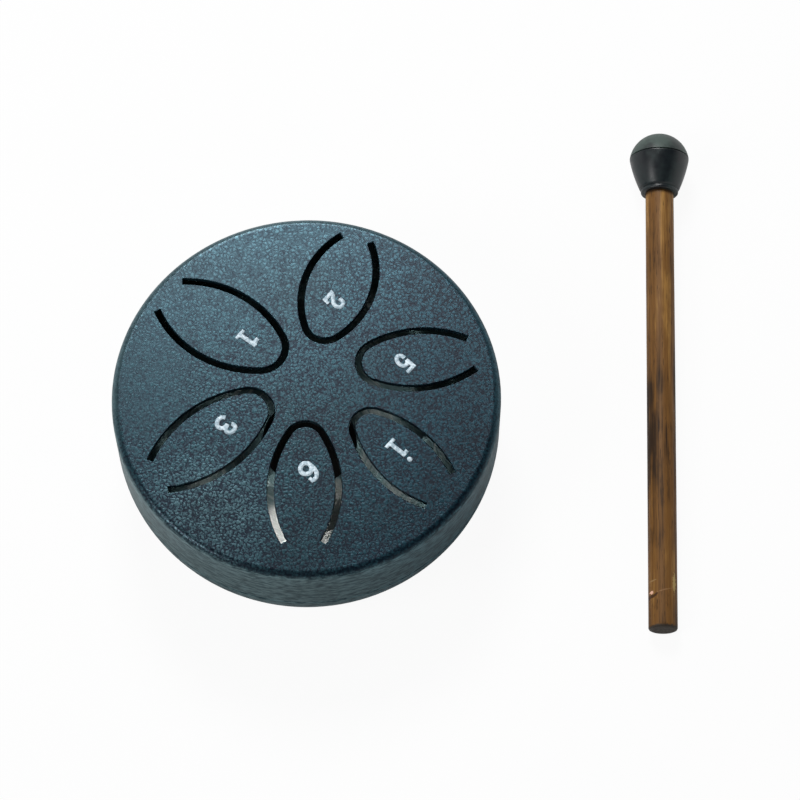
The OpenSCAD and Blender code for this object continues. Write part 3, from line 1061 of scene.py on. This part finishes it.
ONE = Digit("tongue_1", (-12.1, 12.2), -38.0, (
    (0.92, ((-1.4, 1.47), (-0.6, 1.46), (0.1, 1.55))),
    (0.90, ((0.17, 2.12), (0.17, 1.06), (0.21, -0.56), (0.24, -1.96))),
    (0.68, ((-0.98, -2.05), (1.4, -2.08))),
))
TWO = Digit("tongue_2", (5.6, 20.9), -42.0, (
    (0.84, (
        (-1.06, 0.46), (-1.06, 1.24), (-0.76, 1.74), (-0.21, 1.95), (0.37, 1.69), (0.69, 1.0),
        (0.53, 0.29), (-0.04, -0.39), (-0.66, -1.01), (-0.94, -1.55),
    )),
    (0.84, ((-1.38, -1.7), (1.4, -1.6))),
    (0.76, ((1.11, -1.9), (1.2, -0.5))),
))
THREE = Digit("tongue_3", (-16.4, -7.0), -42.0, (
    (0.88, (
        (-1.06, 0.61), (-1.25, 1.15), (-1.02, 1.72), (-0.41, 1.96), (0.28, 1.89), (0.76, 1.46),
        (0.77, 0.88), (0.34, 0.38), (-0.51, 0.06),
    )),
    (0.9, (
        (-0.35, 0.15), (0.44, 0.15), (1.01, -0.23), (1.25, -0.91), (0.97, -1.56), (0.06, -1.96),
        (-0.78, -1.79), (-1.21, -1.21),
    )),
))
FIVE = Digit("tongue_5", (20.2, 6.8), -41.0, (
    (0.84, ((-1.18, 1.68), (1.18, 1.72))),
    (0.8, ((-0.76, 2.08), (-0.84, -0.33))),
    (0.84, (
        (-0.85, -0.11), (-0.52, 0.25), (-0.05, 0.45), (0.43, 0.31), (0.77, -0.13), (0.83, -0.77),
        (0.7, -1.46), (0.29, -1.98), (-0.2, -2.12), (-0.65, -1.89), (-0.86, -1.45), (-0.87, -0.83),
    )),
))
SIX = Digit("tongue_6", (0.8, -17.1), -43.0, (
    (0.7, ((1.01, 2.14), (0.98, 0.98))),
    (0.9, ((1.06, 1.74), (0.48, 1.9), (-0.12, 1.82), (-0.73, 1.35), (-1.09, 0.54), (-1.21, -0.52))),
    (0.94, (
        (0.04, 0.25), (0.77, -0.05), (1.21, -0.85), (0.86, -1.72), (0.01, -2.12), (-0.82, -1.82),
        (-1.2, -0.99), (-0.75, -0.1), (0.04, 0.25),
    )),
))
HIGH_ONE = Digit("tongue_high_1", (19.05, -12.5), -41.0, (
    (0.8, ((-1.09, 1.2), (-0.45, 1.25), (0.19, 1.3))),
    (0.9, ((0.02, 1.66), (0.0, 0.52), (0.02, -1.06), (0.01, -2.32))),
    (0.74, ((-1.26, -2.47), (1.26, -2.44))),
    (0.62, ((-0.16, 2.72), (0.1, 2.6), (0.22, 2.86), (0.1, 3.12), (-0.16, 3.0), (-0.16, 2.72))),
))


@dataclass
class Drum:
    """The drum: two pressed pans, six tongues with their printed digits, and three feet."""

    coat: HammeredCoat = HammeredCoat()
    chamber: ChamberSteel = ChamberSteel()
    ink: PrintInk = PrintInk()
    foot_finish: MouldedRubber = MouldedRubber(
        "foot_rubber_finish", srgb(24, 25, 27), srgb(44, 46, 48), gloss=over_noise(0.55, 0.72)
    )
    body: str = "drum"
    face_mm: float = 30.0
    ink_height_mm: float = 0.08
    ink_sunk_mm: float = 0.02
    ink_step_mm: float = 0.12
    ragged_mm: float = 0.16
    ragged_size_mm: float = 0.35
    digits: tuple[Digit, ...] = (ONE, TWO, THREE, FIVE, SIX, HIGH_ONE)
    feet: tuple[str, ...] = ("foot_1", "foot_2", "foot_3")
    foot_lip_mm: float = 0.15

    def build(self) -> list[Part]:
        """Builds the pans, tongues, digits and feet.

        Returns:
            The drum's pieces.
        """
        steel = PressedSteel()
        skins = (self.coat.material(), self.chamber.material())
        tongues = tuple(digit.tongue for digit in self.digits)
        parts = []
        for side, neighbours in (("upper", tongues), ("lower", ())):
            pan = steel.soft(f"{side}_shell", neighbours, skins)
            parts.append(Part(f"{side}_pan", pan, self.body, Slot.STEEL, (f"{side}_shell",)))
        marking = printing_rule()
        for number, (tongue, digit) in enumerate(zip(tongues, self.digits)):
            blade = steel.soft(tongue, ("upper_shell",), skins, close_root=True)
            parts.append(Part(f"{tongue}_blade", blade, tongue, Slot.STEEL, (tongue,)))
            mark = self.mark(marking, digit, number)
            parts.append(Part(f"{tongue}_digit", mark, tongue, Slot.PRINT))
        for foot in self.feet:
            pad = PressedSteel(self.foot_lip_mm).soft(foot, (), (self.foot_finish.material(),) * 2)
            parts.append(Part(f"{foot}_pad", pad, self.body, Slot.FOOT, (foot,)))
        return parts

    def mark(self, rule: Rule, digit: Digit, number: int) -> bpy.types.Mesh:
        """Prints one digit.

        Args:
            rule: the printing rule.
            digit: its tongue, place and strokes.
            number: its place in the order, which sets its ragged edge.

        Returns:
            The digit's mesh, in place.
        """
        lines = line_mesh(f"{digit.tongue}_digit", [path for _, path in digit.strokes])
        widths: list[float] = []
        for width, path in digit.strokes:
            widths += [width * MM] * (len(path) - (path[0] == path[-1]))
        lines.attributes.new("stroke", "FLOAT", "POINT").data.foreach_set("value", widths)
        mesh = rule.run(lines, {
            "Point Spacing": self.ink_step_mm * MM, "Ink Height": self.ink_height_mm * MM,
            "Raggedness": self.ragged_mm * MM, "Raggedness Size": self.ragged_size_mm * MM,
            "Seed": float(number), "Finish": self.ink.material(),
        })
        height = self.face_mm + self.ink_height_mm / 2 - self.ink_sunk_mm
        mesh.transform(
            Matrix.Translation((digit.centre[0] * MM, digit.centre[1] * MM, height * MM))
            @ Matrix.Rotation(math.radians(digit.up_deg - 90), 4, "Z")
        )
        return mesh


def hump(place: float, height: float, middle: float, width: float) -> float:
    """The height of a soft ring at a place along a turned piece."""
    return height * math.exp(-((place - middle) / width) ** 2)


@dataclass
class Mallet:
    """The mallet: a wooden dowel pushed into a moulded rubber head."""

    body: str = "mallet"
    place_mm: Point = (75.9, 64.4)
    heading_deg: float = 268.9
    reach_mm: float = 106.4
    stick_d_mm: float = 6.1
    stick_start_mm: float = -1.3
    stick_steps: int = 160
    bevel_mm: float = 0.4
    # How uneven stick and head are: by how much, how far apart, and from where along them
    stick_uneven_mm: Triple = (0.05, 9.0, 8.0)
    head_uneven_mm: Triple = (0.03, 4.0, -20.0)
    head_d_mm: float = 13.0
    seam_mm: float = -1.1
    neck_mm: float = 7.4
    neck_d_mm: float = 7.6
    neck_bevel_mm: float = 0.35
    cup_bulge_mm: float = 0.3
    groove_at_mm: float = 6.55
    groove_mm: float = 0.26
    groove_width_mm: float = 0.22
    lip_past_mm: float = 0.55
    lip_mm: float = 0.1
    lip_width_mm: float = 0.3
    dome_steps: int = 40
    cup_steps: int = 44
    bevel_steps: int = 5
    # The seam's cut: its middle, its depth, where it starts and ends, and points on its profile
    # as shares of the depth and places along
    cut_mm: float = -0.85
    cut_deep_mm: float = 0.34
    cut_start_mm: float = 0.16
    cut_end_mm: float = 0.2
    cut_profile: tuple[Point, ...] = ((1.0, -0.06), (1.0, 0.06), (0.3, 0.13))
    socket_floor_mm: float = -1.6
    socket_gap_mm: float = 0.02
    path_mm: float = 20.0
    sharp_deg: float = 40.0

    def where(self) -> Matrix:
        """The mallet's own frame, with the dome's centre at its origin and the tail along +Z.

        Returns:
            The matrix from that frame to the model's.
        """
        head_r, stick_r = self.head_d_mm / 2, self.stick_d_mm / 2
        tilt = math.atan((head_r - stick_r) / (self.reach_mm - self.bevel_mm - self.seam_mm))
        height = head_r * math.cos(tilt) + self.seam_mm * math.sin(tilt)
        return (
            Matrix.Translation((self.place_mm[0] * MM, self.place_mm[1] * MM, height * MM))
            @ Matrix.Rotation(math.radians(self.heading_deg), 4, "Z")
            @ Matrix.Rotation(math.radians(90) + tilt, 4, "Y")
        )

    def stick_section(self) -> list[Point]:
        """The stick's half section, as radius and distance from the dome's centre."""
        radius, start, end, bevel = self.stick_d_mm / 2, self.stick_start_mm, self.reach_mm, self.bevel_mm
        side = [
            (radius, start + bevel + (end - start - 2 * bevel) * i / self.stick_steps)
            for i in range(self.stick_steps + 1)
        ]
        return [(0.0, start), (radius - bevel, start), *side, (radius - bevel / 3, end - bevel / 3),
                (radius - bevel, end), (radius / 2, end), (0.0, end)]

    def cup_radius(self, s: float) -> float:
        """The cup's radius at a distance s from the dome's centre."""
        rim = Vector((self.head_d_mm / 2, self.seam_mm))
        neck = Vector((self.neck_d_mm / 2, self.neck_mm))
        chord = neck - rim
        arc_r = chord.length ** 2 / (8 * self.cup_bulge_mm) + self.cup_bulge_mm / 2
        inward = Vector((-chord.y, chord.x)) / chord.length
        centre = (rim + neck) / 2 + (arc_r - self.cup_bulge_mm) * inward
        return centre.x + math.sqrt(arc_r ** 2 - (s - centre.y) ** 2)

    def head_section(self) -> list[Point]:
        """The head's half section: dome, mould seam, cup, lip and socket."""
        head_r, cut, bevel = self.head_d_mm / 2, self.cut_mm, self.neck_bevel_mm
        line: list[Point] = [(0.0, -head_r)]
        dome_turn = math.acos((self.cut_start_mm - cut) / head_r)
        for i in range(1, self.dome_steps + 1):
            turn = dome_turn * i / self.dome_steps
            line.append((head_r * math.sin(turn), -head_r * math.cos(turn)))
        line += [(head_r - self.cut_deep_mm * share, cut + past) for share, past in self.cut_profile]
        start = cut + self.cut_end_mm
        for i in range(self.cup_steps + 1):
            s = start + (self.neck_mm - bevel - start) * i / self.cup_steps
            dip = hump(s, self.groove_mm, self.groove_at_mm, self.groove_width_mm)
            swell = hump(s, self.lip_mm, self.groove_at_mm + self.lip_past_mm, self.lip_width_mm)
            line.append((self.cup_radius(s) - dip + swell, s))
        end_r = line[-1][0]
        for i in range(1, self.bevel_steps + 1):
            turn = math.pi / 2 * i / self.bevel_steps
            line.append((end_r - bevel * (1 - math.cos(turn)), self.neck_mm - bevel + bevel * math.sin(turn)))
        bore, floor = self.stick_d_mm / 2 + self.socket_gap_mm, self.socket_floor_mm
        return line + [(bore, self.neck_mm), (bore, floor), (0.0, floor)]

    def build(self) -> list[Part]:
        """Turns the stick and the head.

        Returns:
            The mallet's pieces.
        """
        where = self.where()
        turn, shift = tuple(where.to_euler("XYZ")), tuple(where.translation)
        wood = StainedWood(turn=turn, shift=shift, tail_mm=self.reach_mm, neck_mm=self.neck_mm)
        rubber = MouldedRubber(turn=turn, shift=shift, cut_mm=self.cut_mm)
        turning = turning_rule()
        parts = []
        for name, node, slot, finish, section, (uneven, apart, start) in (
            ("mallet_dowel", "mallet_stick", Slot.WOOD, wood, self.stick_section(), self.stick_uneven_mm),
            ("mallet_cup", "mallet_head", Slot.HEAD, rubber, self.head_section(), self.head_uneven_mm),
        ):
            line = line_mesh(name, [[(r - self.path_mm, -s) for r, s in section]])
            mesh = turning.run(line, {
                "Path Radius": self.path_mm * MM, "Unevenness": uneven * MM,
                "Unevenness Size": apart * MM, "Even Until": start * MM, "Seed": 1.0,
                "Finish": finish.material(),
            })
            mesh.transform(where)
            parts.append(Part(name, evened(mesh, self.sharp_deg), self.body, slot, (node,)))
        return parts


@dataclass(frozen=True)
class Softbox:
    """A square studio lamp."""

    name: str
    place: Triple
    target: Triple
    size: float
    watts: float

    def build(self) -> None:
        """Puts the lamp in the scene, turned to its target."""
        data = bpy.data.lights.new(self.name, "AREA")
        data.shape = "SQUARE"
        data.size = self.size
        data.energy = self.watts
        lamp = as_object(self.name, data)
        lamp.location = self.place
        lamp.rotation_euler = (Vector(self.target) - Vector(self.place)).to_track_quat("-Z", "Y").to_euler()


@dataclass
class Studio:
    """The table, the lamps, the room's light and the camera, in metres."""

    table_width: float = 8.0
    camera_target: Triple = (0.01922, -0.00135, 0.03)
    camera_distance: float = 0.7
    camera_elevation_deg: float = 67.5
    camera_reach: Point = (0.01, 50.0)
    lens: float = 153.72
    sensor: float = 36.0
    room_low: Colour = (0.62, 0.63, 0.64, 1.0)
    room_high: Colour = (0.12, 0.125, 0.13, 1.0)
    room_rise: Step = Step(0.15, 0.6)
    lamps: tuple[Softbox, ...] = (
        Softbox("key", (-0.06, 0.45, 0.62), (-0.02, 0.04, 0.03), 0.25, 4.8),
        Softbox("side", (-0.52, -0.3, 0.62), (0.02, 0.0, 0.02), 0.3, 3.0),
    )

    def build(self) -> None:
        """Builds the whole studio."""
        self.build_table()
        self.build_room()
        self.build_camera()
        for lamp in self.lamps:
            lamp.build()
        bpy.context.scene.view_settings.view_transform = "Standard"
        log.info("studio: table, room, camera and %d lamps", len(self.lamps))

    def build_table(self) -> None:
        """Lays the pale table under the object."""
        made = bmesh.new()
        bmesh.ops.create_grid(made, x_segments=1, y_segments=1, size=self.table_width / 2)
        mesh = bpy.data.meshes.new("table")
        made.to_mesh(mesh)
        made.free()
        mesh.materials.append(StudioPaper().material())
        as_object("table", mesh)

    def build_room(self) -> None:
        """Lights the room: pale near the table, as the backdrop is, and dimmer overhead."""
        world = bpy.data.worlds.new("room")
        bpy.context.scene.world = world
        world.use_nodes = True
        net = Net(world.node_tree)
        ray = net.add("ShaderNodeLightPath").outputs
        seen = net.math("ADD", ray["Is Camera Ray"], ray["Is Glossy Ray"], clamp=True)
        seen = net.math("ADD", seen, ray["Is Transmission Ray"], clamp=True)
        rise = net.split(net.add("ShaderNodeTexCoord").outputs["Generated"])[2]
        low = net.tint(seen, self.room_low, WHITE)
        shade = net.tint(net.ease(rise, self.room_rise), low, self.room_high)
        back = net.get("ShaderNodeBackground", {"Color": shade, "Strength": 1.0})
        net.add("ShaderNodeOutputWorld", {"Surface": back})

    def build_camera(self) -> None:
        """Sets the camera at the photograph's viewing angle."""
        data = bpy.data.cameras.new("camera")
        data.lens = self.lens
        data.sensor_width = self.sensor
        data.clip_start, data.clip_end = self.camera_reach
        camera = as_object("camera", data)
        rise = math.radians(self.camera_elevation_deg)
        back = Vector((0.0, -math.cos(rise), math.sin(rise)))
        camera.location = Vector(self.camera_target) + back * self.camera_distance
        camera.rotation_mode = "QUATERNION"
        camera.rotation_quaternion = (-back).to_track_quat("-Z", "Y")
        bpy.context.scene.camera = camera


def main() -> None:
    """Builds the studio, the drum and the mallet, and reports each piece."""
    logging.basicConfig(level=logging.INFO, format="%(name)s %(message)s")
    Studio().build()
    for assembly in (Drum(), Mallet()):
        for part in assembly.build():
            part.declare()


if __name__ == "__main__":
    main()
